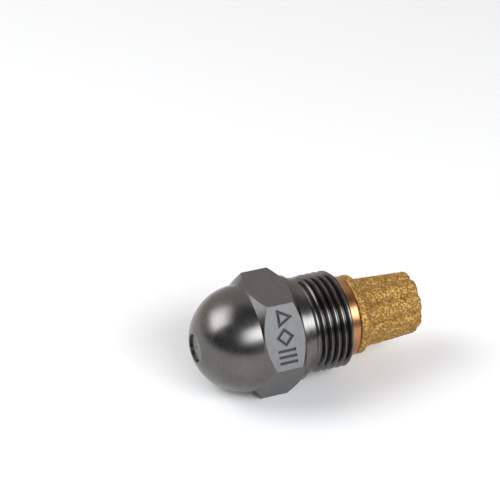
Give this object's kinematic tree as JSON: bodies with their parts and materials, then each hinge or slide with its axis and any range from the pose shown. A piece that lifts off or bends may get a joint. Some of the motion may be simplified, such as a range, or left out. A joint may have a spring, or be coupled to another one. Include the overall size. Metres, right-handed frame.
{
  "type": "oil burner nozzle",
  "caption": "Pressure atomising oil burner nozzle: hexagon body with domed tip and outside thread, orifice disc, swirl distributor, lock screw and sintered filter.",
  "frame": {"origin": "on the nozzle's axis, at the body's rear face, where it seals in the nozzle holder", "axes": "+X along the axis from the orifice towards the filter, +Z normal to a flat of the hexagon, which lies on the opposite flat"},
  "size_m": [0.034, 0.0184, 0.016],
  "materials": {
    "body_steel": "turned and polished, dark",
    "disc_steel": "ground",
    "screw_brass": "turned",
    "adapter_copper": "turned, copper-coloured",
    "filter_bronze": "sintered, grainy"
  },
  "bodies": {
    "body": {"nozzle_body": "body_steel", "orifice_disc": "disc_steel"},
    "distributor": {"swirl_distributor": "disc_steel"},
    "screw": {"lock_screw": "screw_brass"},
    "filter_unit": {"filter_adapter": "adapter_copper", "sintered_filter": "filter_bronze"}
  },
  "joints": [
    {"name": "filter_pull", "type": "slide", "parent": "body", "child": "filter_unit", "axis": [1, 0, 0], "range_m": [0, 0.012]},
    {"name": "distributor_release", "type": "slide", "parent": "body", "child": "distributor", "axis": [1, 0, 0], "range_m": [0, 0.00225]},
    {"name": "lock_screw_turn", "type": "hinge", "parent": "distributor", "child": "screw", "pos_m": [-0.0093, 0, 0], "axis": [1, 0, 0], "range_deg": [0, 1080]}
  ],
  "couplings": [
    {"joint": "distributor_release", "follows": "lock_screw_turn", "m_per_rad": 0.00011937}
  ]
}
